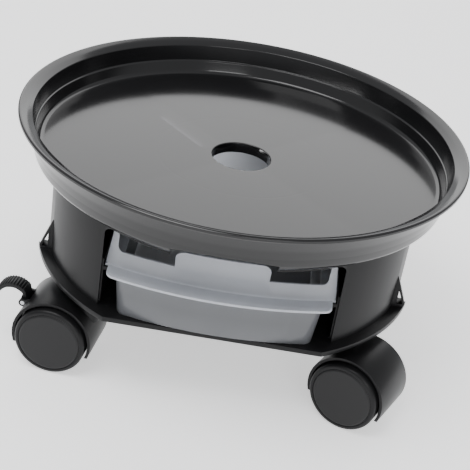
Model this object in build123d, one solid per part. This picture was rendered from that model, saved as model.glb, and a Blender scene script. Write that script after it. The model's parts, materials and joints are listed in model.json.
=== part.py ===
from build123d import *
import os
from math import cos, radians, sin, sqrt

# A round plant pot caddy: a shallow tray on a drum-shaped base with a drawer, rolling on four
# twin-wheel casters. The origin is on the floor under the tray's centre, the drawer faces -Y, +Z is up.
# All sizes are millimetres.

# ---- driving dimensions ---------------------------------------------------------------------------

TRAY_R = 158.0              # outer radius of the tray's lip
TRAY_TOP_Z = 165.0          # top of the lip
LIP_INNER_R = 148.0         # inner edge of the lip's sloping face
LIP_INNER_Z = 160.5
FLOOR_Z = 139.2             # pot floor beside the tray's wall
FLOOR_FALL = 1.0            # how far the floor falls from the wall to the drain hole
FLOOR_R = 139.0             # where the floor meets the fillet of the tray's wall
FLOOR_THICK = 2.6
COLLAR_R = 147.4            # bright edge where the tray's underside turns in
COLLAR_Z = 143.5
DRAIN_R = 21.2
DRAIN_COLLAR_WALL = 2.4
DRAIN_COLLAR_Z = 130.5      # lower end of the collar round the drain hole

WALL_R = 130.3              # outer radius of the base's drum
WALL_THICK = 2.5
SEAM_Z = 126.4              # where the tray sits on the drum
PLATE_R = 138.0             # floor plate of the base
PLATE_Z0 = 60.0
PLATE_Z1 = 63.5
PLATE_FRONT_Y = -117.0      # straight cut across the plate's front

OPENING_HALF = 79.0         # drawer opening in the drum
OPENING_TOP_Z = 124.8
OPENING_CORNER_R = 6.0

DRAWER_ARC_R = 260.0        # the drawer's front is an arc of this radius in plan
BIN_HALF_TOP = 68.5
BIN_HALF_BOTTOM = 65.5
BIN_Z0 = 64.2
BIN_WALL = 1.8
BIN_FRONT_Y = -119.8        # middle of the bin's front, at its top
BIN_DRAFT_Y = 0.8           # the bin's front leans in this much towards its bottom
BIN_BACK_Y = 61.0
BIN_CORNER_R = 7.0
BACK_HALF = 66.0            # upright panel across the drawer's back
BACK_TOP_Z = 119.0
FLANGE_HALF = 77.0          # runner flange along the drawer's sides
FLANGE_Z0 = 91.4
FLANGE_Z1 = 93.0
FLANGE_FRONT_Y = -122.6
FLANGE_FRONT_HALF = 74.8
FASCIA_Y = -109.5           # middle of the upright fascia
FASCIA_THICK = 1.8
FASCIA_HALF = 77.2          # at its foot
FASCIA_TOP_HALF = 72.8
FASCIA_TOP_Z = 123.6
NOTCH_Z = 105.0             # bottom of the two cut-outs beside the tab
NOTCH_IN = 31.0
NOTCH_OUT = 69.6
NOTCH_CORNER_R = 4.0
TAB_TOP_Z = 121.8
TAB_TOP_Y = -117.6          # the pull tab leans forward to here
SHEET_DEEP = 140.0          # depth of the blocks that trim the fascia and the tab

SCOOP_HALF = 34.0           # finger scoop in the drum and the tray, above the pull tab
SCOOP_BACK_Y = -112.0
SCOOP_LOW_Z = 118.0
SCOOP_TOP_Z = 141.0         # the scoop stops just under the tray's collar
SCOOP_FRONT_Y = -153.0

RAIL_INNER = 78.0           # guide rails beside the drawer's flange
RAIL_THICK = 2.5
RAIL_TOP_Z = 97.0
LEDGE_INNER = 72.5
LEDGE_Z0 = 88.6
LEDGE_Z1 = 91.0
RAIL_FRONT_Y = -99.0
RAIL_BACK_Y = 66.0
STOP_TOP_Z = 82.0

GUSSET_Y = 41.0             # middle of each side gusset, in front and behind
GUSSET_THICK = 8.5
GUSSET_TOP_Z = 88.0
GUSSET_FOOT_X = 131.0

SCREW_X = 105.0
SCREW_Y = 30.0
SCREW_HEAD_R = 4.0
SCREW_SHANK_R = 1.75
SCREW_BOSS_R = 6.5
SCREW_BOSS_TOP_Z = 68.0
SCREW_SEAT_Z = 65.0
SCREW_TIP_Z = 84.0
TRAY_POST_R = 5.0

WHEEL_R = 25.0
WHEEL_INNER_X = 6.5         # inner face of each wheel, from the caster's middle
WHEEL_OUTER_X = 25.0
HOOD_R = 28.3
HOOD_INNER_R = 26.2
HOOD_HALF = 20.0
HOOD_LOW_Z = 16.0
WEB_HALF = 6.0
TRAIL = 18.5                # the axle's distance from the swivel axis
AXLE_R = 3.0
AXLE_HALF = 21.5
STEM_R = 3.5
STEM_LOW_Z = 28.0
STEM_TOP_Z = 81.0
STEM_COLLAR_R = 8.6
STEM_COLLAR_THICK = 2.0
NECK_R = 9.4
NECK_TOP_Z = 57.6
SOCKET_R = 9.0
SOCKET_BORE_R = 5.6
SOCKET_TOP_Z = 84.0
GRIP_R = 5.55
STEM_X = 88.0
STEM_Y = 81.0
RUN_CLEAR = 0.05            # radial clearance of every running fit

LEVER_HALF = 5.6
LEVER_PIN_R = 1.5
LEVER_PIN_Y = -44.5         # lever pin, from the swivel axis along the caster's trail
LEVER_PIN_Z = 40.4
PADDLE_R = 13.0             # outer radius of the lever's arched paddle
PADDLE_THICK = 2.8
PADDLE_BACK = 8.4           # the arch's centre, behind the pin
PADDLE_DROP = 1.4           # and below it
PADDLE_FROM = 44            # the arch runs between these angles above the trailing direction's reverse
PADDLE_TO = 160
RIB_R = 0.55
RIB_STEP = 9                # degrees of arch from rib to rib

# Each caster's place and the direction it trails in, in degrees anticlockwise from -Y.
CASTERS = {
    "front_left": (-STEM_X, -STEM_Y, -98.0),
    "front_right": (STEM_X, -STEM_Y, 63.0),
    "rear_right": (STEM_X, STEM_Y, 118.0),
    "rear_left": (-STEM_X, STEM_Y, -128.0),
}
BRAKED = "front_left"


# ---- small helpers --------------------------------------------------------------------------------

def box(x0, x1, y0, y1, z0, z1):
    """A box between two corners."""
    middle = ((x0 + x1) / 2, (y0 + y1) / 2, (z0 + z1) / 2)
    return Pos(*middle) * Box(abs(x1 - x0), abs(y1 - y0), abs(z1 - z0))


def post(x, y, z0, z1, radius):
    """An upright cylinder between two heights."""
    return Pos(x, y, (z0 + z1) / 2) * Cylinder(radius, z1 - z0)


def cross_rod(y, z, x0, x1, radius):
    """A cylinder along X between two places."""
    return Pos((x0 + x1) / 2, y, z) * Rot(0, 90, 0) * Cylinder(radius, x1 - x0)


def turned(points):
    """A solid of revolution about Z from an outline of (radius, height) points."""
    outline = make_face(Polyline([(r, 0, z) for r, z in points], close=True))
    return revolve(outline, Axis.Z, 360)


def arc_front_y(x, middle_y):
    """The Y of the drawer's curved front at x, where its middle is at middle_y."""
    return middle_y + DRAWER_ARC_R - sqrt(DRAWER_ARC_R ** 2 - x ** 2)


def bowed_outline(half, middle_y, back_y, corner, z):
    """A plan outline with a bowed front and rounded corners, as a face at height z."""
    front_y = arc_front_y(half, middle_y)
    bow = ThreePointArc((-half, front_y, z), (0, middle_y, z), (half, front_y, z))
    sides = Polyline((half, front_y, z), (half, back_y, z), (-half, back_y, z), (-half, front_y, z))
    face = make_face(bow + sides)
    return fillet(face.vertices(), corner)


def save(solid, node):
    """Writes one node's solids."""
    solid.label = node
    export_step(solid, f"parts/{node}.step")


# ---- tray -----------------------------------------------------------------------------------------

def tray():
    """The one-piece moulded tray: rolled lip, wall, four gently falling floor facets and drain collar."""
    floor_under = FLOOR_Z - FLOOR_THICK
    outline = make_face(
        Polyline((0, FLOOR_Z), (FLOOR_R, FLOOR_Z))
        + ThreePointArc((FLOOR_R, FLOOR_Z), (141.97, 140.43), (143.2, 143.4))
        + Polyline((143.2, 143.4), (145.0, 148.5), (145.6, 149.0), (LIP_INNER_R, LIP_INNER_Z))
        + Spline((LIP_INNER_R, LIP_INNER_Z), (152.0, 163.4), (156.2, TRAY_TOP_Z))
        + Polyline((156.2, TRAY_TOP_Z), (TRAY_R, 163.9), (TRAY_R, 162.4), (153.4, 159.4))
        + Spline((153.4, 159.4), (150.0, 153.0), (COLLAR_R, COLLAR_Z))
        + Spline((COLLAR_R, COLLAR_Z), (145.4, 138.2), (139.4, 132.4), (WALL_R, SEAM_Z))
        + Polyline((WALL_R, SEAM_Z), (127.7, SEAM_Z), (127.7, 130.4), (135.8, floor_under))
        + Polyline((135.8, floor_under), (0, floor_under), (0, FLOOR_Z))
    )
    body = revolve(Plane.XZ * outline, Axis.Z, 360)
    body += post(0, 0, DRAIN_COLLAR_Z, FLOOR_Z - FLOOR_THICK, DRAIN_R + DRAIN_COLLAR_WALL)
    for x in (-SCREW_X, SCREW_X):
        for y in (-SCREW_Y, SCREW_Y):
            body += post(x, y, SCREW_BOSS_TOP_Z, FLOOR_Z - FLOOR_THICK, TRAY_POST_R)
            body -= post(x, y, SCREW_BOSS_TOP_Z - 1, SCREW_TIP_Z + 4, SCREW_SHANK_R + 0.02)
    body -= floor_facets()
    body -= finger_scoop()
    body -= post(0, 0, DRAIN_COLLAR_Z - 1, FLOOR_Z + 1, DRAIN_R)
    return body


def floor_facets():
    """A very flat upside-down pyramid; cutting it out leaves four facets that meet on the diagonals."""
    half = FLOOR_R
    apex = FLOOR_Z - FLOOR_FALL
    corners = [(-half, -half, FLOOR_Z), (half, -half, FLOOR_Z), (half, half, FLOOR_Z), (-half, half, FLOOR_Z)]
    faces = [make_face(Polyline(corners, close=True))]
    for index in range(4):
        faces.append(make_face(Polyline(corners[index], corners[index - 1], (0, 0, apex), close=True)))
    pyramid = Solid(Shell(faces))
    return pyramid & post(0, 0, apex - 1, FLOOR_Z + 1, FLOOR_R)


# ---- base -----------------------------------------------------------------------------------------

def base_shell():
    """The drum and its plate, gussets, drawer rails, caster sockets and screw bosses, one moulding."""
    inner = WALL_R - WALL_THICK
    drum = turned([
        (inner, PLATE_Z0 + 1),
        (WALL_R, PLATE_Z0 + 1),
        (WALL_R, SEAM_Z),
        (127.4, SEAM_Z),
        (127.4, 129.8),
        (125.2, 129.8),
        (125.2, 121.0),
        (inner, 118.0),
    ])
    plate = post(0, 0, PLATE_Z0, PLATE_Z1, PLATE_R)
    plate -= box(-PLATE_R, PLATE_R, -PLATE_R - 5, PLATE_FRONT_Y, PLATE_Z0 - 1, PLATE_Z1 + 1)
    edge = post(0, 0, PLATE_Z0 - 1, PLATE_Z1 + 1, PLATE_R + 5)
    edge -= post(0, 0, PLATE_Z0 - 1, PLATE_Z1 + 1, WALL_R)
    reach = GUSSET_Y - GUSSET_THICK / 2
    plate -= edge & box(-PLATE_R - 9, PLATE_R + 9, -reach, reach, PLATE_Z0 - 1, PLATE_Z1 + 1)
    drum -= drawer_opening()
    drum -= finger_scoop()
    body = plate + drum
    for side in (-1, 1):
        body += rail(side)
        for front in (-1, 1):
            body += gusset(side, front)
    body += box(-45, 45, RAIL_BACK_Y - 2.5, RAIL_BACK_Y, PLATE_Z1 - 0.5, STOP_TOP_Z)
    for x, y, _ in CASTERS.values():
        body += post(x, y, PLATE_Z0, SOCKET_TOP_Z, SOCKET_R)
        body -= post(x, y, PLATE_Z0 - 1, SOCKET_TOP_Z - 2, SOCKET_BORE_R)
    for x in (-SCREW_X, SCREW_X):
        for y in (-SCREW_Y, SCREW_Y):
            body += post(x, y, PLATE_Z0, SCREW_BOSS_TOP_Z, SCREW_BOSS_R)
            body -= post(x, y, PLATE_Z0 - 1, SCREW_SEAT_Z, SCREW_HEAD_R + 0.3)
            body -= post(x, y, PLATE_Z0 - 1, SCREW_BOSS_TOP_Z + 1, SCREW_SHANK_R + 0.3)
    return body


def drawer_opening():
    """The opening cut through the front of the drum, with rounded upper corners."""
    height = OPENING_TOP_Z - PLATE_Z1 + 3
    window = RectangleRounded(2 * OPENING_HALF, height, OPENING_CORNER_R)
    window += Pos(0, -height / 4) * Rectangle(2 * OPENING_HALF, height / 2)
    upright = Plane(origin=(0, 0, OPENING_TOP_Z - height / 2), x_dir=(1, 0, 0), z_dir=(0, -1, 0))
    return extrude(upright * window, WALL_R + 10)


def finger_scoop():
    """The wedge cut up into the drum's rim and the tray's underside, so that fingers reach the tab."""
    outline = Polyline(
        (0, SCOOP_BACK_Y, SCOOP_LOW_Z),
        (0, SCOOP_BACK_Y, TAB_TOP_Z - 0.3),
        (0, TAB_TOP_Y, TAB_TOP_Z + 2.2),
        (0, SCOOP_FRONT_Y + 6.5, SCOOP_TOP_Z),
        (0, SCOOP_FRONT_Y, SCOOP_TOP_Z),
        (0, SCOOP_FRONT_Y, SCOOP_LOW_Z),
        close=True,
    )
    wedge = extrude(make_face(outline), SCOOP_HALF, dir=(1, 0, 0))
    return wedge + extrude(make_face(outline), SCOOP_HALF, dir=(-1, 0, 0))


def rail(side):
    """One L-shaped guide rail that carries the drawer's side flange."""
    outer = RAIL_INNER + RAIL_THICK
    upright = box(side * RAIL_INNER, side * outer, RAIL_FRONT_Y, RAIL_BACK_Y, PLATE_Z1 - 0.5, RAIL_TOP_Z)
    ledge = box(side * LEDGE_INNER, side * outer, RAIL_FRONT_Y, RAIL_BACK_Y, LEDGE_Z0, LEDGE_Z1)
    return upright + ledge


def gusset(side, front):
    """A thick three-cornered rib between the drum and the plate, with a small slot beside the drum."""
    root_x = sqrt(WALL_R ** 2 - GUSSET_Y ** 2)
    outline = Polyline(
        (side * (root_x - 3.2), 0, PLATE_Z1 - 0.5),
        (side * (GUSSET_FOOT_X - 0.6), 0, PLATE_Z1 - 0.5),
        (side * GUSSET_FOOT_X, 0, PLATE_Z1 + 3),
        (side * (root_x - 1.2), 0, GUSSET_TOP_Z),
        (side * (root_x - 3.2), 0, GUSSET_TOP_Z),
        close=True,
    )
    slot = Polyline(
        (side * (root_x + 1.6), 0, PLATE_Z1 + 2.2),
        (side * (root_x + 6.0), 0, PLATE_Z1 + 2.2),
        (side * (root_x + 1.6), 0, PLATE_Z1 + 13.0),
        close=True,
    )
    y0 = front * GUSSET_Y - GUSSET_THICK / 2
    rib = extrude(Pos(0, y0, 0) * make_face(outline), GUSSET_THICK, dir=(0, 1, 0))
    return rib - extrude(Pos(0, y0 - 2, 0) * make_face(slot), GUSSET_THICK + 4, dir=(0, 1, 0))


# ---- drawer ---------------------------------------------------------------------------------------

def drawer():
    """The drawer: drafted bin, flange all round, upright back, notched fascia with a leaning tab."""
    hollow = bin_block(BIN_WALL, BIN_Z0 + BIN_WALL)
    return bin_block(0, BIN_Z0) - hollow + flange_plate() + fascia() + tab() + back_panel()


def bin_block(inset, low_z):
    """The bin's block, narrower at its bottom, or the hollow inside it."""
    corner = BIN_CORNER_R - inset
    low = bowed_outline(
        BIN_HALF_BOTTOM - inset, BIN_FRONT_Y + BIN_DRAFT_Y + inset, BIN_BACK_Y - 2 - inset, corner, low_z
    )
    high = bowed_outline(
        BIN_HALF_TOP - inset, BIN_FRONT_Y + inset, BIN_BACK_Y - inset, corner, FLANGE_Z0
    )
    return loft([low, high], ruled=True)


def flange_plate():
    """The flange: a finger shelf in front of the fascia, a runner along each side, and the bin's mouth."""
    thick = FLANGE_Z1 - FLANGE_Z0
    shelf = bowed_outline(FLANGE_FRONT_HALF, FLANGE_FRONT_Y, -60, BIN_CORNER_R, FLANGE_Z0)
    runner_front = arc_front_y(FLANGE_HALF, FASCIA_Y)
    runners = Pos(0, (runner_front + BIN_BACK_Y + 2) / 2, FLANGE_Z0) * Rectangle(
        2 * FLANGE_HALF, BIN_BACK_Y + 2 - runner_front
    )
    mouth = bowed_outline(
        BIN_HALF_TOP - BIN_WALL,
        FASCIA_Y + FASCIA_THICK,
        BIN_BACK_Y - BIN_WALL,
        BIN_CORNER_R - BIN_WALL,
        FLANGE_Z0,
    )
    plate = extrude(shelf, thick, dir=(0, 0, 1)) + extrude(runners, thick, dir=(0, 0, 1))
    return plate - extrude(mouth, thick, dir=(0, 0, 1))


def bowed_strip(half, z):
    """The fascia's section in plan, out to half each side, as a face at height z."""
    back_y = FASCIA_Y + FASCIA_THICK
    end_y = arc_front_y(half, FASCIA_Y)
    end_back_y = end_y + FASCIA_THICK
    front = ThreePointArc((-half, end_y, z), (0, FASCIA_Y, z), (half, end_y, z))
    back = ThreePointArc((half, end_back_y, z), (0, back_y, z), (-half, end_back_y, z))
    ends = Line((half, end_y, z), (half, end_back_y, z)) + Line((-half, end_back_y, z), (-half, end_y, z))
    return make_face(front + back + ends)


def upright_sheet(low_half, top_half, low_z, top_z, corner):
    """A deep block whose front view is a four-sided outline with rounded corners."""
    outline = Polyline(
        (-low_half, low_z), (low_half, low_z), (top_half, top_z), (-top_half, top_z), close=True
    )
    view = fillet(make_face(outline).vertices(), corner)
    return extrude(Plane(origin=(0, 0, 0), x_dir=(1, 0, 0), z_dir=(0, -1, 0)) * view, SHEET_DEEP)


def fascia():
    """The fascia, narrower at its top, with rounded lower corners and a cut-out each side of the tab."""
    above = 12.0
    top_half = FASCIA_TOP_HALF - (FASCIA_HALF - FASCIA_TOP_HALF) * above / (FASCIA_TOP_Z - FLANGE_Z0)
    sheet = extrude(bowed_strip(FASCIA_HALF, FLANGE_Z0), FASCIA_TOP_Z - FLANGE_Z0, dir=(0, 0, 1))
    sheet = sheet & upright_sheet(FASCIA_HALF, top_half, FLANGE_Z0, FASCIA_TOP_Z + above, 5.0)
    return sheet - upright_sheet(NOTCH_OUT, NOTCH_OUT, NOTCH_Z, FASCIA_TOP_Z + above, NOTCH_CORNER_R)


def back_panel():
    """The upright panel across the drawer's back, behind the drain."""
    sheet = upright_sheet(BACK_HALF, BACK_HALF, FLANGE_Z0 - 12, BACK_TOP_Z, 8.0)
    rear = BIN_BACK_Y + 1
    return Pos(0, rear, 0) * sheet & box(-80, 80, rear - FASCIA_THICK, rear, FLANGE_Z0 + 0.2, BACK_TOP_Z)


def tab():
    """The pull tab, which leans forward out of the fascia and has rounded upper corners."""
    root_z = NOTCH_Z - 1.5
    lean = Vector(0, TAB_TOP_Y - FASCIA_Y, TAB_TOP_Z - root_z)
    slab = extrude(bowed_strip(NOTCH_IN, root_z), lean.length, dir=lean)
    return slab & upright_sheet(NOTCH_IN, NOTCH_IN, root_z - 14, TAB_TOP_Z, 7.0)


# ---- fasteners ------------------------------------------------------------------------------------

def tray_screws():
    """Four pan-head screws that hold the tray's posts down on the base."""
    screws = []
    for x in (-SCREW_X, SCREW_X):
        for y in (-SCREW_Y, SCREW_Y):
            head = post(x, y, SCREW_SEAT_Z - 2.6, SCREW_SEAT_Z, SCREW_HEAD_R)
            head -= box(x - 0.5, x + 0.5, y - 2.2, y + 2.2, SCREW_SEAT_Z - 3, SCREW_SEAT_Z - 1.2)
            head -= box(x - 2.2, x + 2.2, y - 0.5, y + 0.5, SCREW_SEAT_Z - 3, SCREW_SEAT_Z - 1.2)
            screws.append(head + post(x, y, SCREW_SEAT_Z - 0.2, SCREW_TIP_Z, SCREW_SHANK_R))
    return Compound(children=screws)


# ---- caster, in its own frame: swivel axis on Z, trailing towards -Y, axle along X ------------------

def stem():
    """The steel stem: a collar under the base, a groove for the grip ring above, a journal below."""
    body = post(0, 0, STEM_LOW_Z, STEM_TOP_Z, STEM_R)
    body += post(0, 0, PLATE_Z0 - STEM_COLLAR_THICK, PLATE_Z0, STEM_COLLAR_R)
    body = chamfer(body.edges().sort_by(Axis.Z)[-1], 0.8)
    return body


def grip_ring():
    """The split spring sleeve round the stem that grips the base's socket."""
    ring = post(0, 0, PLATE_Z0 + 2, STEM_TOP_Z - 3, GRIP_R)
    ring -= post(0, 0, PLATE_Z0, STEM_TOP_Z, STEM_R + 0.02)
    return ring - box(-0.8, 0.8, 0, GRIP_R + 1, PLATE_Z0, STEM_TOP_Z)


def hood(braked):
    """The caster's body: half-round hood over both wheels, middle web, axle boss and stem neck."""
    shell = cross_rod(-TRAIL, WHEEL_R, -HOOD_HALF, HOOD_HALF, HOOD_R)
    shell -= cross_rod(-TRAIL, WHEEL_R, -HOOD_HALF - 1, HOOD_HALF + 1, HOOD_INNER_R)
    shell -= box(-30, 30, -TRAIL - 40, -TRAIL + 40, WHEEL_R - 40, HOOD_LOW_Z)
    web = cross_rod(-TRAIL, WHEEL_R, -WEB_HALF, WEB_HALF, HOOD_INNER_R + 0.5)
    web -= box(-30, 30, -TRAIL - 40, -TRAIL + 40, WHEEL_R - 40, HOOD_LOW_Z)
    neck = post(0, 0, WHEEL_R + 12, NECK_TOP_Z, NECK_R)
    neck -= cross_rod(-TRAIL, WHEEL_R, -HOOD_HALF - 1, HOOD_HALF + 1, HOOD_INNER_R)
    neck = chamfer(neck.edges().sort_by(Axis.Z)[-1], 1.2)
    body = shell + web + neck
    body -= post(0, 0, STEM_LOW_Z - 0.5, NECK_TOP_Z + 1, STEM_R + RUN_CLEAR)
    body -= cross_rod(-TRAIL, WHEEL_R, -WEB_HALF - 1, WEB_HALF + 1, AXLE_R + 0.01)
    if braked:
        body -= lever_slot()
        for side in (-1, 1):
            body += lever_ear(side)
        body -= cross_rod(LEVER_PIN_Y, LEVER_PIN_Z, -12, 12, LEVER_PIN_R + 0.01)
    return body


def lever_slot():
    """The slot in the hood that the brake lever's nose works through."""
    return box(-LEVER_HALF - 0.5, LEVER_HALF + 0.5, -60, LEVER_PIN_Y + 7.5, LEVER_PIN_Z - 14, LEVER_PIN_Z + 3)


def lever_ear(side):
    """One of the two ears that hold the lever's pin."""
    inner = LEVER_HALF + 0.4
    outer = inner + 2.2
    ear = cross_rod(LEVER_PIN_Y, LEVER_PIN_Z, inner, outer, 2.8)
    ear += box(inner, outer, LEVER_PIN_Y, LEVER_PIN_Y + 6, LEVER_PIN_Z - 2.8, LEVER_PIN_Z + 2.8)
    ear -= cross_rod(-TRAIL, WHEEL_R, inner - 1, outer + 1, HOOD_INNER_R + 0.4)
    return ear if side > 0 else ear.mirror(Plane.YZ)


def axle():
    """The steel axle pin, chamfered at both ends."""
    body = cross_rod(-TRAIL, WHEEL_R, -AXLE_HALF, AXLE_HALF, AXLE_R)
    ends = body.edges().sort_by(Axis.X)
    return chamfer([ends[0], ends[-1]], 0.5)


def wheel(side):
    """One hard plastic wheel with a rounded tread edge and a seat for its cover."""
    outline = Polyline([
        (AXLE_R + RUN_CLEAR, WHEEL_INNER_X),
        (WHEEL_R - 0.8, WHEEL_INNER_X),
        (WHEEL_R, WHEEL_INNER_X + 0.8),
        (WHEEL_R, WHEEL_OUTER_X - 2.4),
        (WHEEL_R - 0.7, WHEEL_OUTER_X - 0.7),
        (WHEEL_R - 2.0, WHEEL_OUTER_X - 0.2),
        (WHEEL_R - 3.2, WHEEL_OUTER_X - 0.4),
        (WHEEL_R - 3.2, WHEEL_OUTER_X - 2.4),
        (AXLE_R + RUN_CLEAR, WHEEL_OUTER_X - 2.4),
    ], close=True)
    body = revolve(Plane.XZ * make_face(outline), Axis.Z, 360)
    return Pos(0, -TRAIL, WHEEL_R) * Rot(0, side * 90, 0) * body


def wheel_cover(side):
    """The round cover pressed into the wheel's outer face."""
    outline = Polyline([
        (0, WHEEL_OUTER_X - 2.4),
        (WHEEL_R - 3.25, WHEEL_OUTER_X - 2.4),
        (WHEEL_R - 3.25, WHEEL_OUTER_X - 0.9),
        (WHEEL_R - 4.2, WHEEL_OUTER_X - 0.3),
        (WHEEL_R - 5.4, WHEEL_OUTER_X),
        (0, WHEEL_OUTER_X),
    ], close=True)
    body = revolve(Plane.XZ * make_face(outline), Axis.Z, 360)
    return Pos(0, -TRAIL, WHEEL_R) * Rot(0, side * 90, 0) * body


def on_arch(radius, angle):
    """The (y, z) of a place on the paddle's arch."""
    y = LEVER_PIN_Y - PADDLE_BACK + radius * cos(radians(angle))
    z = LEVER_PIN_Z - PADDLE_DROP + radius * sin(radians(angle))
    return y, z


def brake_lever():
    """The foot lever: hub on the pin, short nose above the tread, arched paddle with ribs across it."""
    inner_r = PADDLE_R - PADDLE_THICK
    middle = (PADDLE_FROM + PADDLE_TO) / 2
    outer = [(0, *on_arch(PADDLE_R, angle)) for angle in (PADDLE_FROM, middle, PADDLE_TO)]
    inner = [(0, *on_arch(inner_r, angle)) for angle in (PADDLE_TO, middle, PADDLE_FROM)]
    y, z = LEVER_PIN_Y, LEVER_PIN_Z
    arch = make_face(
        ThreePointArc(*outer) + Line(outer[2], inner[0]) + ThreePointArc(*inner) + Line(inner[2], outer[0])
    )
    neck = make_face(Polyline((0, y + 2.6, z), outer[0], inner[2], (0, y - 2.6, z), close=True))
    body = cross_rod(y, z, -LEVER_HALF, LEVER_HALF, 2.8)
    for face in (arch, neck):
        body += extrude(face, LEVER_HALF, dir=(1, 0, 0)) + extrude(face, LEVER_HALF, dir=(-1, 0, 0))
    for angle in range(PADDLE_FROM + RIB_STEP, PADDLE_TO, RIB_STEP):
        rib_y, rib_z = on_arch(PADDLE_R, angle)
        body += cross_rod(rib_y, rib_z, -LEVER_HALF, LEVER_HALF, RIB_R)
    nose = box(-LEVER_HALF, LEVER_HALF, y - 1.5, y + 3.0, z - 4.6, z - 0.5)
    nose -= cross_rod(-TRAIL, WHEEL_R, -LEVER_HALF - 1, LEVER_HALF + 1, HOOD_INNER_R + 1.0)
    body += nose
    return body - cross_rod(y, z, -LEVER_HALF - 1, LEVER_HALF + 1, LEVER_PIN_R + RUN_CLEAR)


def brake_pin():
    """The steel pin across the ears."""
    end = LEVER_HALF + 0.4 + 2.2
    return cross_rod(LEVER_PIN_Y, LEVER_PIN_Z, -end, end, LEVER_PIN_R)


# ---- write every node -----------------------------------------------------------------------------

def main():
    os.makedirs("parts", exist_ok=True)
    save(tray(), "tray")
    save(base_shell(), "base_shell")
    save(drawer(), "drawer")
    save(tray_screws(), "tray_screws")
    pieces = {
        "stem": stem(),
        "grip_ring": grip_ring(),
        "axle": axle(),
        "wheel_a": wheel(1),
        "wheel_b": wheel(-1),
        "wheel_a_cover": wheel_cover(1),
        "wheel_b_cover": wheel_cover(-1),
    }
    for name, (x, y, heading) in CASTERS.items():
        place = Pos(x, y, 0) * Rot(0, 0, heading)
        for piece, solid in pieces.items():
            save(place * solid, f"{name}_{piece}")
        save(place * hood(name == BRAKED), f"{name}_hood")
        if name == BRAKED:
            save(place * brake_lever(), f"{name}_brake_lever")
            save(place * brake_pin(), f"{name}_brake_pin")


main()
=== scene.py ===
import json
import math

import bpy
from mathutils import Matrix, Vector


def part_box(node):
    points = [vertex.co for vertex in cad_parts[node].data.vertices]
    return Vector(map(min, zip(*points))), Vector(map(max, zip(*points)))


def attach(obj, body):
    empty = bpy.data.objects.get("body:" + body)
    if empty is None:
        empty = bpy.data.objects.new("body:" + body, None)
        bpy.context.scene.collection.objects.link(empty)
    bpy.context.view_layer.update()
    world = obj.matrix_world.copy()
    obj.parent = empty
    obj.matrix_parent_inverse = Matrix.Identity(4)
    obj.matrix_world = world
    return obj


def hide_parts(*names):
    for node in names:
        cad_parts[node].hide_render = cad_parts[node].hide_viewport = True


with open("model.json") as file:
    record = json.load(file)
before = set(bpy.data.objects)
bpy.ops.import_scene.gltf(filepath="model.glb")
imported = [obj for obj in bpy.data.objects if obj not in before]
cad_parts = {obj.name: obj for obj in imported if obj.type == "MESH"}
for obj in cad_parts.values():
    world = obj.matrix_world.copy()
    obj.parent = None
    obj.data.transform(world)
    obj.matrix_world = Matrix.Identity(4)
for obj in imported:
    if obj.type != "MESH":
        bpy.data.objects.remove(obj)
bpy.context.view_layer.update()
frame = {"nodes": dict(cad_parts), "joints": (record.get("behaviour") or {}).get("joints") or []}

# ---- the studio ---------------------------------------------------------------------------------
# A pale floor under three soft boxes, overhead, in front and behind. A small lamp inside the drum
# lights what shows through the drain hole. The camera is turned about its line of sight.

CAMERA_PLACE = (0.0, -0.7676, 0.5159)
CAMERA_YAW, CAMERA_PITCH, CAMERA_ROLL = 0.0062, 0.5227, -0.1658
SENSOR_WIDE, LENS_LONG = 36.0, 91.9
CADDY_MIDDLE = (0.0, 0.0, 0.1)


def aim_camera():
    """The camera, in front of the drawer and above it, looking down by about thirty degrees."""
    ahead = Vector((
        math.sin(CAMERA_YAW) * math.cos(CAMERA_PITCH),
        math.cos(CAMERA_YAW) * math.cos(CAMERA_PITCH),
        -math.sin(CAMERA_PITCH),
    ))
    across = Vector((math.cos(CAMERA_YAW), -math.sin(CAMERA_YAW), 0.0))
    above = across.cross(ahead)
    right = across * math.cos(CAMERA_ROLL) - above * math.sin(CAMERA_ROLL)
    up = across * math.sin(CAMERA_ROLL) + above * math.cos(CAMERA_ROLL)
    data = bpy.data.cameras.new("camera")
    data.sensor_width = SENSOR_WIDE
    data.lens = LENS_LONG
    data.clip_start = 0.01
    camera = bpy.data.objects.new("camera", data)
    turn = Matrix((right, up, -ahead)).transposed().to_4x4()
    camera.matrix_world = Matrix.Translation(Vector(CAMERA_PLACE)) @ turn
    bpy.context.scene.collection.objects.link(camera)
    bpy.context.scene.camera = camera


def soft_box(name, place, target, size, power):
    """A rectangular soft light at place, facing target, with its power in watts."""
    data = bpy.data.lights.new(name, "AREA")
    data.shape = "RECTANGLE"
    data.size, data.size_y = size
    data.energy = power
    lamp = bpy.data.objects.new(name, data)
    lamp.location = place
    lamp.rotation_euler = (Vector(target) - Vector(place)).to_track_quat("-Z", "Y").to_euler()
    bpy.context.scene.collection.objects.link(lamp)


def studio_floor():
    """A wide floor sheet with a fine matt grain, which glows a little to stay pale."""
    bpy.ops.object.select_all(action="DESELECT")
    bpy.ops.mesh.primitive_plane_add(size=16.0, location=(0.0, 0.0, 0.0))
    floor = bpy.context.object
    floor.name = "studio_floor"
    matt = bpy.data.materials.new("floor_paper")
    matt.use_nodes = True
    nodes, links = matt.node_tree.nodes, matt.node_tree.links
    shader = nodes["Principled BSDF"]
    shader.inputs["Base Color"].default_value = (0.86, 0.86, 0.865, 1.0)
    shader.inputs["Roughness"].default_value = 0.9
    shader.inputs["Specular IOR Level"].default_value = 0.1
    shader.inputs["Emission Color"].default_value = (1.0, 1.0, 1.0, 1.0)
    shader.inputs["Emission Strength"].default_value = 0.8
    grain = nodes.new("ShaderNodeTexNoise")
    grain.inputs["Scale"].default_value = 900.0
    bump = nodes.new("ShaderNodeBump")
    bump.inputs["Strength"].default_value = 0.05
    bump.inputs["Distance"].default_value = 0.0002
    links.new(grain.outputs["Fac"], bump.inputs["Height"])
    links.new(bump.outputs["Normal"], shader.inputs["Normal"])
    floor.data.materials.append(matt)


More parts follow.
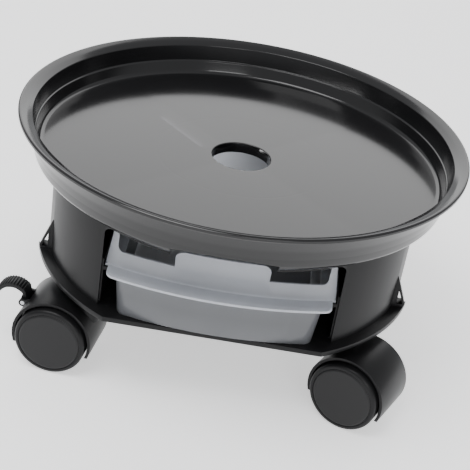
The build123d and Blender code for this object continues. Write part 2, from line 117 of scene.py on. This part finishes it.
def studio_air():
    """A pale even surround."""
    world = bpy.data.worlds.new("studio_air")
    world.use_nodes = True
    back = world.node_tree.nodes["Background"]
    back.inputs["Color"].default_value = (0.93, 0.94, 0.96, 1.0)
    back.inputs["Strength"].default_value = 0.85
    bpy.context.scene.world = world


aim_camera()
studio_floor()
studio_air()
soft_box("box_above", (-0.5, -0.5, 1.6), CADDY_MIDDLE, (1.0, 0.8), 20.0)
soft_box("box_front", (0.5, -1.6, 0.9), CADDY_MIDDLE, (0.7, 0.5), 8.0)
soft_box("box_behind", (0.0, 2.2, 1.45), (0.0, 0.0, 0.14), (3.2, 1.6), 34.0)
soft_box("light_in_drum", (-0.05, 0.02, 0.129), (0.0, 0.065, 0.1), (0.05, 0.03), 0.09)

# ---- tray ---------------------------------------------------------------------------------------
# The tray is one injection moulding in gloss black plastic: a broad sloping lip, a wall, a floor
# of four facets that fall to the drain hole, and posts underneath for the screws. Its collar
# drops over the drum's rim. The sizes are in millimetres.

MM = 0.001
WELD = MM * 0.002
TURNED_SMOOTH = math.radians(32)
TRAY_STEPS, POST_STEPS = 240, 48
TRAY_LOW, TRAY_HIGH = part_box("tray")
TRAY_R = min(-TRAY_LOW.x, -TRAY_LOW.y, TRAY_HIGH.x, TRAY_HIGH.y) / MM
TRAY_TOP = TRAY_HIGH.z / MM
TRAY_FLOOR = TRAY_TOP - 25.8
FLOOR_UNDER = TRAY_FLOOR - 2.6
DRAIN_R = 21.2
DRAIN_COLLAR_R = DRAIN_R + 2.4
DRAIN_LOW = TRAY_FLOOR - 8.7
RING_R = 60.7
RING_DEEP = 0.03
FACET_R = 139.0
FACET_FALL = 1.0
RIM_COLLAR_IN, RIM_COLLAR_OUT = 127.7, 130.3
RIM_COLLAR_LOW = TRAY_FLOOR - 12.8
SCOOP_HALF = 34.0
SCOOP_FRONT_Y, SCOOP_BACK_Y = -153.0, -112.0
SCOOP_LOW, SCOOP_TOP = 118.0, 141.0
SCOOP_SLOPE_FRONT, SCOOP_SLOPE_BACK = 144.8, 120.7
SCREW_X, SCREW_Y = 105.0, 30.0
SCREW_HOLE_R, POST_R = 1.77, 5.0
POST_LOW, POST_HIGH = 68.0, TRAY_FLOOR - 2.4
MOTTLE_SCALE, MOTTLE_DETAIL, GRAIN_DETAIL = 26.0, 4.0, 3.0
MOTTLE_DARK, MOTTLE_LIGHT = 0.88, 1.15
ROUGH_LEAST, ROUGH_MOST = 0.82, 1.18


def only_active(obj):
    """Deselects everything but obj and makes it active."""
    bpy.ops.object.select_all(action="DESELECT")
    obj.select_set(True)
    bpy.context.view_layer.objects.active = obj


def rounded(corners, bends=5):
    """A closed outline through (radius, height, bend) points, each corner an arc of that bend."""
    points = []
    for index, (r, z, bend) in enumerate(corners):
        here = Vector((r, z))
        if bend == 0:
            points.append(here)
            continue
        before = (Vector(corners[index - 1][:2]) - here).normalized()
        after = (Vector(corners[(index + 1) % len(corners)][:2]) - here).normalized()
        half = before.angle(after) / 2
        centre = here + (before + after).normalized() * (bend / math.sin(half))
        first = here + before * (bend / math.tan(half)) - centre
        last = here + after * (bend / math.tan(half)) - centre
        sweep = math.atan2(first.x * last.y - first.y * last.x, first.dot(last))
        for step in range(bends + 1):
            angle = math.atan2(first.y, first.x) + sweep * step / bends
            points.append(centre + bend * Vector((math.cos(angle), math.sin(angle))))
    return points


def lathed(name, outline, steps):
    """A solid turned about +Z from a closed outline of (radius, height) points in millimetres."""
    bpy.ops.object.select_all(action="DESELECT")
    bpy.ops.mesh.primitive_plane_add(size=MM, location=(0.0, 0.0, 0.0))
    piece = bpy.context.object
    piece.name = name
    bpy.ops.object.mode_set(mode="EDIT")
    bpy.ops.mesh.merge(type="CENTER")
    here = Vector((outline[0][0], 0.0, outline[0][1])) * MM
    bpy.ops.transform.translate(value=here)
    for r, z in [*outline[1:], outline[0]]:
        there = Vector((r, 0.0, z)) * MM
        bpy.ops.mesh.extrude_region_move(TRANSFORM_OT_translate={"value": there - here})
        here = there
    bpy.ops.mesh.select_all(action="SELECT")
    bpy.ops.mesh.spin(steps=steps, angle=math.tau, center=(0.0, 0.0, 0.0), axis=(0.0, 0.0, 1.0))
    bpy.ops.mesh.select_all(action="SELECT")
    bpy.ops.mesh.remove_doubles(threshold=WELD)
    bpy.ops.mesh.normals_make_consistent(inside=False)
    bpy.ops.object.mode_set(mode="OBJECT")
    bpy.ops.object.shade_smooth_by_angle(angle=TURNED_SMOOTH)
    return piece


def moulded(name, colour, rough, grain_scale, grain_depth, metallic=0.0, shine=0.5):
    """A moulded or plated finish: a faintly mottled colour, an uneven gloss and a fine grain."""
    made = bpy.data.materials.new(name)
    made.use_nodes = True
    nodes, links = made.node_tree.nodes, made.node_tree.links
    shader = nodes["Principled BSDF"]
    shader.inputs["Metallic"].default_value = metallic
    shader.inputs["Specular IOR Level"].default_value = shine
    place = nodes.new("ShaderNodeTexCoord")
    cloud = nodes.new("ShaderNodeTexNoise")
    cloud.inputs["Scale"].default_value = MOTTLE_SCALE
    cloud.inputs["Detail"].default_value = MOTTLE_DETAIL
    links.new(place.outputs["Object"], cloud.inputs["Vector"])
    tone = nodes.new("ShaderNodeMix")
    tone.data_type = "RGBA"
    tone.inputs["A"].default_value = (*[c * MOTTLE_DARK for c in colour], 1.0)
    tone.inputs["B"].default_value = (*[c * MOTTLE_LIGHT for c in colour], 1.0)
    links.new(cloud.outputs["Fac"], tone.inputs["Factor"])
    links.new(tone.outputs["Result"], shader.inputs["Base Color"])
    gloss = nodes.new("ShaderNodeMapRange")
    gloss.inputs["To Min"].default_value = rough * ROUGH_LEAST
    gloss.inputs["To Max"].default_value = rough * ROUGH_MOST
    links.new(cloud.outputs["Fac"], gloss.inputs["Value"])
    links.new(gloss.outputs["Result"], shader.inputs["Roughness"])
    grain = nodes.new("ShaderNodeTexNoise")
    grain.inputs["Scale"].default_value = grain_scale
    grain.inputs["Detail"].default_value = GRAIN_DETAIL
    links.new(place.outputs["Object"], grain.inputs["Vector"])
    bump = nodes.new("ShaderNodeBump")
    bump.inputs["Strength"].default_value = 1.0
    bump.inputs["Distance"].default_value = grain_depth
    links.new(grain.outputs["Fac"], bump.inputs["Height"])
    links.new(bump.outputs["Normal"], shader.inputs["Normal"])
    return made


def finish_piece(piece, material, body, slot, *nodes):
    """Gives a piece its only material and its body, and hides the CAD nodes that it stands for.
    The slot argument is not used.
    """
    piece.data.materials.clear()
    piece.data.materials.append(material)
    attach(piece, body)
    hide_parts(*nodes)


def tray_outline():
    """The tray's section, from the drain hole outwards over the lip and back underneath."""
    drain_edge = [
        (DRAIN_R, DRAIN_LOW, 0.5),
        (DRAIN_R, TRAY_FLOOR, 0.7),
        (DRAIN_R + 1.6, TRAY_FLOOR, 0),
    ]
    floor_and_ring = [
        (RING_R - 0.9, TRAY_FLOOR, 0),
        (RING_R - 0.3, TRAY_FLOOR, 0),
        (RING_R, TRAY_FLOOR - RING_DEEP, 0),
        (RING_R + 0.3, TRAY_FLOOR, 0),
        (RING_R + 0.9, TRAY_FLOOR, 0),
        (FACET_R - 0.7, TRAY_FLOOR, 0),
        (FACET_R, TRAY_FLOOR, 0),
    ]
    wall_with_step = [
        (142.6, TRAY_FLOOR, 3.6),
        (145.0, TRAY_FLOOR + 9.4, 0.8),
        (146.0, TRAY_FLOOR + 10.0, 0.8),
        (147.9, TRAY_FLOOR + 21.9, 1.0),
    ]
    lip = [
        (152.2, TRAY_FLOOR + 24.3, 14.0),
        (156.6, TRAY_TOP, 1.6),
        (TRAY_R, TRAY_TOP - 0.9, 0.6),
        (TRAY_R, TRAY_TOP - 2.6, 0.4),
        (152.9, TRAY_TOP - 5.4, 2.6),
    ]
    outer_side = [
        (149.4, TRAY_TOP - 14.0, 30.0),
        (147.4, TRAY_TOP - 21.0, 0.9),
        (145.9, TRAY_FLOOR - 2.3, 6.0),
        (139.4, TRAY_FLOOR - 7.2, 14.0),
    ]
    rim_collar = [
        (RIM_COLLAR_OUT, RIM_COLLAR_LOW, 0.3),
        (RIM_COLLAR_IN, RIM_COLLAR_LOW, 0.3),
        (RIM_COLLAR_IN, TRAY_FLOOR - 8.8, 0.8),
    ]
    underside = [
        (135.8, FLOOR_UNDER, 0),
        (DRAIN_COLLAR_R, FLOOR_UNDER, 1.0),
        (DRAIN_COLLAR_R, DRAIN_LOW, 0.5),
    ]
    return rounded([
        *drain_edge, *floor_and_ring, *wall_with_step, *lip, *outer_side, *rim_collar, *underside,
    ])


def fall_to_drain(piece):
    """Tips the floor into four shallow facets that meet on the diagonals."""
    slope = FACET_FALL / FACET_R
    top = (TRAY_FLOOR - 0.9) * MM
    for vertex in piece.data.vertices:
        x, y, z = vertex.co
        reach = math.hypot(x, y)
        if z > top and reach < (FACET_R + 0.1) * MM:
            vertex.co.z = z - FACET_FALL * MM + slope * max(abs(x), abs(y))


def scooped(piece):
    """Cuts the finger scoop up into the tray's underside, above the drawer's pull tab."""
    bpy.ops.object.select_all(action="DESELECT")
    bpy.ops.mesh.primitive_cube_add(size=MM, location=(0.0, 0.0, 0.0))
    cutter = bpy.context.object
    corners = {
        (-1, -1): (SCOOP_FRONT_Y, SCOOP_LOW),
        (-1, 1): (SCOOP_FRONT_Y, SCOOP_SLOPE_FRONT),
        (1, -1): (SCOOP_BACK_Y, SCOOP_LOW),
        (1, 1): (SCOOP_BACK_Y, SCOOP_SLOPE_BACK),
    }
    for vertex in cutter.data.vertices:
        y, z = corners[(1 if vertex.co.y > 0 else -1, 1 if vertex.co.z > 0 else -1)]
        vertex.co = Vector((math.copysign(SCOOP_HALF, vertex.co.x), y, z)) * MM
    ceiling = Vector((0.0, 0.0, SCOOP_TOP)) * MM
    only_active(cutter)
    bpy.ops.object.mode_set(mode="EDIT")
    bpy.ops.mesh.select_all(action="SELECT")
    bpy.ops.mesh.bisect(
        plane_co=ceiling, plane_no=(0.0, 0.0, 1.0), use_fill=True, clear_outer=True,
    )
    bpy.ops.object.mode_set(mode="OBJECT")
    only_active(piece)
    cut = piece.modifiers.new("scoop", "BOOLEAN")
    cut.operation = "DIFFERENCE"
    cut.solver = "EXACT"
    cut.object = cutter
    bpy.ops.object.modifier_apply(modifier=cut.name)
    bpy.data.objects.remove(cutter)
    bpy.ops.object.shade_smooth_by_angle(angle=TURNED_SMOOTH)


def screw_posts(piece):
    """Adds the four hollow posts that the screws bite into, hanging from the floor to the base."""
    section = rounded([
        (SCREW_HOLE_R, POST_LOW, 0.2),
        (POST_R, POST_LOW, 0.4),
        (POST_R, POST_HIGH, 0),
        (SCREW_HOLE_R, POST_HIGH, 0),
    ])
    post = lathed("tray_post", section, POST_STEPS)
    parts = [piece]
    for x in (-SCREW_X, SCREW_X):
        for y in (-SCREW_Y, SCREW_Y):
            one = post.copy()
            one.data = post.data.copy()
            one.data.transform(Matrix.Translation(Vector((x, y, 0.0)) * MM))
            bpy.context.scene.collection.objects.link(one)
            parts.append(one)
    bpy.data.objects.remove(post)
    bpy.ops.object.select_all(action="DESELECT")
    for part in parts:
        part.select_set(True)
    bpy.context.view_layer.objects.active = piece
    bpy.ops.object.join()


gloss_black = moulded(
    "gloss_black", (0.006, 0.006, 0.0065), rough=0.14, grain_scale=420.0, grain_depth=0.000003,
    shine=0.4,
)
tray = lathed("tray_moulding", tray_outline(), TRAY_STEPS)
fall_to_drain(tray)
scooped(tray)
screw_posts(tray)
finish_piece(tray, gloss_black, "base", "tray_plastic", "tray")

# ---- base shell and drawer ----------------------------------------------------------------------
# The base is one satin black moulding: drum, floor plate, gussets and rails. The drawer is a milky
# translucent moulding that slides in it. Their edges are softly rounded by the mould.

FLANGE_LOW = 91.3
SHADE_REACH = 30.0
MOULDED_SMOOTH = math.radians(35)
ROUNDED_OVER = math.radians(30)
FLAT_WITHIN = math.radians(0.3)


def softened(node, width, bends=2, finishes=()):
    """A copy of a CAD piece, joined up, with its edges rounded as the mould leaves them.

    Where finishes are given, the last of them goes on the rounded edges and the first elsewhere.
    """
    piece = frame["nodes"][node].copy()
    piece.data = piece.data.copy()
    piece.name = node + "_moulding"
    piece.parent = None
    for key in list(piece.keys()):
        del piece[key]
    bpy.context.scene.collection.objects.link(piece)
    piece.data.materials.clear()
    for finish in finishes:
        piece.data.materials.append(finish)
    only_active(piece)
    bpy.ops.object.mode_set(mode="EDIT")
    bpy.ops.mesh.select_all(action="SELECT")
    bpy.ops.mesh.remove_doubles(threshold=WELD)
    bpy.ops.mesh.dissolve_limited(angle_limit=FLAT_WITHIN)
    bpy.ops.object.mode_set(mode="OBJECT")
    bpy.ops.mesh.customdata_custom_splitnormals_clear()
    edge = piece.modifiers.new("edge", "BEVEL")
    edge.width = width * MM
    edge.segments = bends
    edge.limit_method = "ANGLE"
    edge.angle_limit = ROUNDED_OVER
    edge.material = len(finishes) - 1
    bpy.ops.object.modifier_apply(modifier=edge.name)
    bpy.ops.object.shade_smooth_by_angle(angle=MOULDED_SMOOTH)
    return piece


def shade_by_height(made, level, under_flange_shade, fascia_shade):
    """Paints shade by height: the thin walls below a level, under the flange's overhang, and the
    fascia above it are darkened against the flange, whose upward face stays lightest as if lit
    from above.
    """
    nodes, links = made.node_tree.nodes, made.node_tree.links
    shader = nodes["Principled BSDF"]
    plain = shader.inputs["Base Color"].links[0].from_socket
    place = next(node for node in nodes if node.type == "TEX_COORD")
    split = nodes.new("ShaderNodeSeparateXYZ")
    links.new(place.outputs["Object"], split.inputs["Vector"])
    ramp = nodes.new("ShaderNodeValToRGB")
    reach = nodes.new("ShaderNodeMapRange")
    reach.inputs["From Min"].default_value = (level - SHADE_REACH) * MM
    reach.inputs["From Max"].default_value = (level + SHADE_REACH) * MM
    links.new(split.outputs["Z"], reach.inputs["Value"])
    links.new(reach.outputs["Result"], ramp.inputs["Fac"])
    painted_shades_by_height = [
        (-27.0, under_flange_shade * 1.15),
        (-12.0, under_flange_shade),
        (-0.6, under_flange_shade * 1.1),
        (0.0, 1.0),
        (1.8, 1.0),
        (3.6, fascia_shade),
        (27.0, fascia_shade * 0.9),
    ]
    positions = [0.5 + height / (2 * SHADE_REACH) for height, _ in painted_shades_by_height]
    stops = ramp.color_ramp.elements
    stops[0].position, stops[1].position = positions[0], positions[-1]
    for position in positions[1:-1]:
        stops.new(position)
    for stop, (_, tone) in zip(stops, painted_shades_by_height):
        stop.color = (tone, tone, tone, 1.0)
    shade_multiply = nodes.new("ShaderNodeMix")
    shade_multiply.data_type = "RGBA"
    shade_multiply.blend_type = "MULTIPLY"
    shade_multiply.inputs["Factor"].default_value = 1.0
    links.new(plain, shade_multiply.inputs["A"])
    links.new(ramp.outputs["Color"], shade_multiply.inputs["B"])
    links.new(shade_multiply.outputs["Result"], shader.inputs["Base Color"])


satin_black = moulded(
    "satin_black", (0.006, 0.006, 0.0065), rough=0.36, grain_scale=1500.0, grain_depth=0.00001,
    shine=0.2,
)
milky = moulded(
    "milky", (0.84, 0.87, 0.93), rough=0.3, grain_scale=800.0, grain_depth=0.00001,
)
milky.node_tree.nodes["Principled BSDF"].inputs["Transmission Weight"].default_value = 0.6
# Painted shade: the drawer's colour is darkened below the flange and on the fascia above it.
shade_by_height(milky, FLANGE_LOW, under_flange_shade=0.24, fascia_shade=0.72)
# Painted highlight: the drawer's rounded edges get a whiter finish that glows.
milky_edge_highlight = moulded(
    "milky_edge_highlight", (0.95, 0.96, 0.98), rough=0.25, grain_scale=800.0, grain_depth=0.000005,
)
edge_highlight_shader = milky_edge_highlight.node_tree.nodes["Principled BSDF"]
edge_highlight_shader.inputs["Emission Color"].default_value = (0.92, 0.95, 1.0, 1.0)
edge_highlight_shader.inputs["Emission Strength"].default_value = 0.7
base_shell = softened("base_shell", width=0.5)
finish_piece(base_shell, satin_black, "base", "base_plastic", "base_shell")
drawer = softened("drawer", width=0.8, finishes=(milky, milky_edge_highlight))
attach(drawer, "drawer")
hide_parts("drawer")

# ---- casters and steel --------------------------------------------------------------------------
# Four twin-wheel casters: a nylon hood, two hard wheels with round covers pressed in, and a steel
# stem, axle and grip ring. Only the front-left one has a foot lever, on a steel pin. The wheels
# and covers are turned shapes. The tray's screws are plated like the casters' steel.

WHEEL_R = 25.0
WHEEL_IN, WHEEL_OUT = 6.5, 25.0
TREAD_DEEP = 3.2
COVER_R = WHEEL_R - 3.25
COVER_BACK = WHEEL_OUT - 2.4
AXLE_HOLE_R = 3.05
TURN_STEPS = 120
JOINTS = {joint["name"]: joint for joint in frame["joints"]}

matt_black = moulded(
    "matt_black", (0.007, 0.007, 0.0075), rough=0.45, grain_scale=2200.0, grain_depth=0.00002,
    shine=0.3,
)
plated_steel = moulded(
    "plated_steel", (0.5, 0.5, 0.52), rough=0.3, grain_scale=900.0, grain_depth=0.00001,
    metallic=1.0,
)

wheel_shape = lathed("wheel_shape", rounded([
    (AXLE_HOLE_R, WHEEL_IN, 0.3),
    (WHEEL_R, WHEEL_IN, 1.2),
    (WHEEL_R, WHEEL_OUT - 0.2, 2.4),
    (WHEEL_R - TREAD_DEEP, WHEEL_OUT - 0.5, 0.3),
    (WHEEL_R - TREAD_DEEP, COVER_BACK, 0),
    (AXLE_HOLE_R, COVER_BACK, 0),
]), TURN_STEPS)
cover_shape = lathed("cover_shape", rounded([
    (0.0, COVER_BACK, 0),
    (COVER_R, COVER_BACK, 0.2),
    (COVER_R, WHEEL_OUT - 0.8, 0.5),
    (WHEEL_R - 4.6, WHEEL_OUT, 1.2),
    (0.0, WHEEL_OUT, 0),
]), TURN_STEPS)


def turned_copy(shape, name, joint, outward):
    """A copy of a turned shape, put on a wheel's axis with its outer face outwards."""
    axis = Vector(joint["axis"]).normalized() * outward
    piece = shape.copy()
    piece.data = shape.data.copy()
    piece.name = name
    turn = axis.to_track_quat("Z", "Y").to_matrix().to_4x4()
    piece.data.transform(Matrix.Translation(Vector(joint["pos_m"])) @ turn)
    bpy.context.scene.collection.objects.link(piece)
    return piece


for caster in ("front_left", "front_right", "rear_right", "rear_left"):
    for letter, outward in (("a", 1), ("b", -1)):
        node = caster + "_wheel_" + letter
        joint = JOINTS[node + "_spin"]
        wheel = turned_copy(wheel_shape, node + "_turned", joint, outward)
        finish_piece(wheel, satin_black, node, "wheel_plastic", node)
        cover = turned_copy(cover_shape, node + "_cover_turned", joint, outward)
        finish_piece(cover, matt_black, node, "cover_plastic", node + "_cover")
    node = caster + "_hood"
    hood = softened(node, width=0.6, bends=3)
    finish_piece(hood, satin_black, caster + "_fork", "caster_plastic", node)
for shape in (wheel_shape, cover_shape):
    bpy.data.objects.remove(shape)
node = "front_left_brake_lever"
lever = softened(node, width=0.3)
finish_piece(lever, satin_black, "front_left_brake", "caster_plastic", node)

for name, obj in frame["nodes"].items():
    if name.endswith(("stem", "axle", "pin", "ring", "screws")):
        for finish_slot in obj.material_slots:
            finish_slot.material = plated_steel
